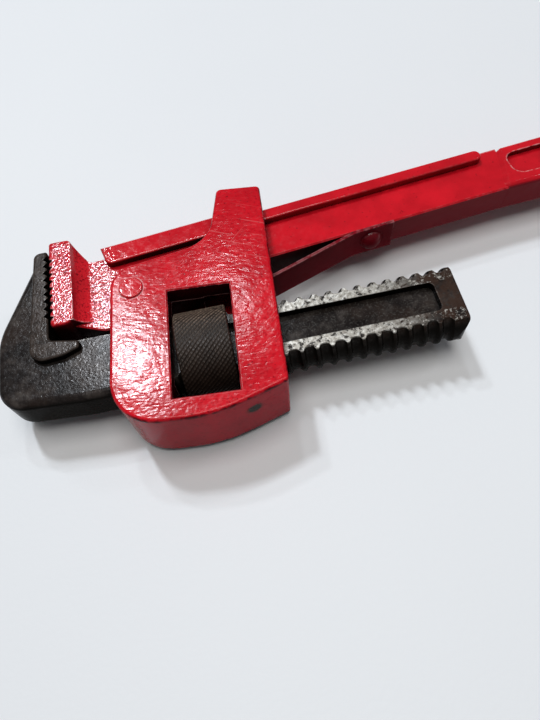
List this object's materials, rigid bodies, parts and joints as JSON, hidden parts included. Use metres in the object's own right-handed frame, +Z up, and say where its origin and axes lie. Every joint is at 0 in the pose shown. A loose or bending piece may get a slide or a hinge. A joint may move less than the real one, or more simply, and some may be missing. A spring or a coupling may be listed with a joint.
{
  "type": "pipe wrench",
  "caption": "Straight pipe wrench with a toothed heel jaw, a rocking housing and a hook jaw moved by a knurled nut on its threaded shank.",
  "frame": {"origin": "centre of the wrench's box, on the surface it lies on", "axes": "+X along the handle from the jaws to the grip's end, +Y toward the handle's back and the open side of the jaws, +Z up out of the surface the wrench lies flat on"},
  "size_m": [0.3014, 0.0824, 0.0296],
  "materials": {
    "red_enamel": "gloss",
    "painted_pin": "gloss",
    "painted_spring": "satin",
    "forged_steel": "worn",
    "dark_steel": "oiled",
    "spring_steel": "satin"
  },
  "bodies": {
    "handle": {"handle": "red_enamel", "handle_spring": "painted_spring", "handle_spring_rivet": "painted_spring"},
    "housing": {"housing": "red_enamel", "housing_pin": "painted_pin", "housing_spring": "spring_steel", "housing_spring_rivet": "painted_pin"},
    "hook_jaw": {"hook_jaw": "forged_steel"},
    "adjusting_nut": {"adjusting_nut": "dark_steel"}
  },
  "joints": [
    {"name": "housing_rock", "type": "hinge", "parent": "handle", "child": "housing", "pos_m": [-0.10226, 0.00948, 0.0148], "axis": [0, 0, 1], "range_deg": [0, 3], "stiffness_Nm_per_rad": 8, "springref_deg": -2.86},
    {"name": "nut_turn", "type": "hinge", "parent": "housing", "child": "adjusting_nut", "pos_m": [-0.08454, -0.01487, 0.0148], "axis": [0.9943, -0.1063, 0], "range_deg": [0, 4320]},
    {"name": "jaw_slide", "type": "slide", "parent": "housing", "child": "hook_jaw", "axis": [-0.9943, 0.1063, 0], "range_m": [0, 0.06]}
  ],
  "couplings": [
    {"joint": "nut_turn", "follows": "jaw_slide", "rad_per_m": 1256.6}
  ]
}
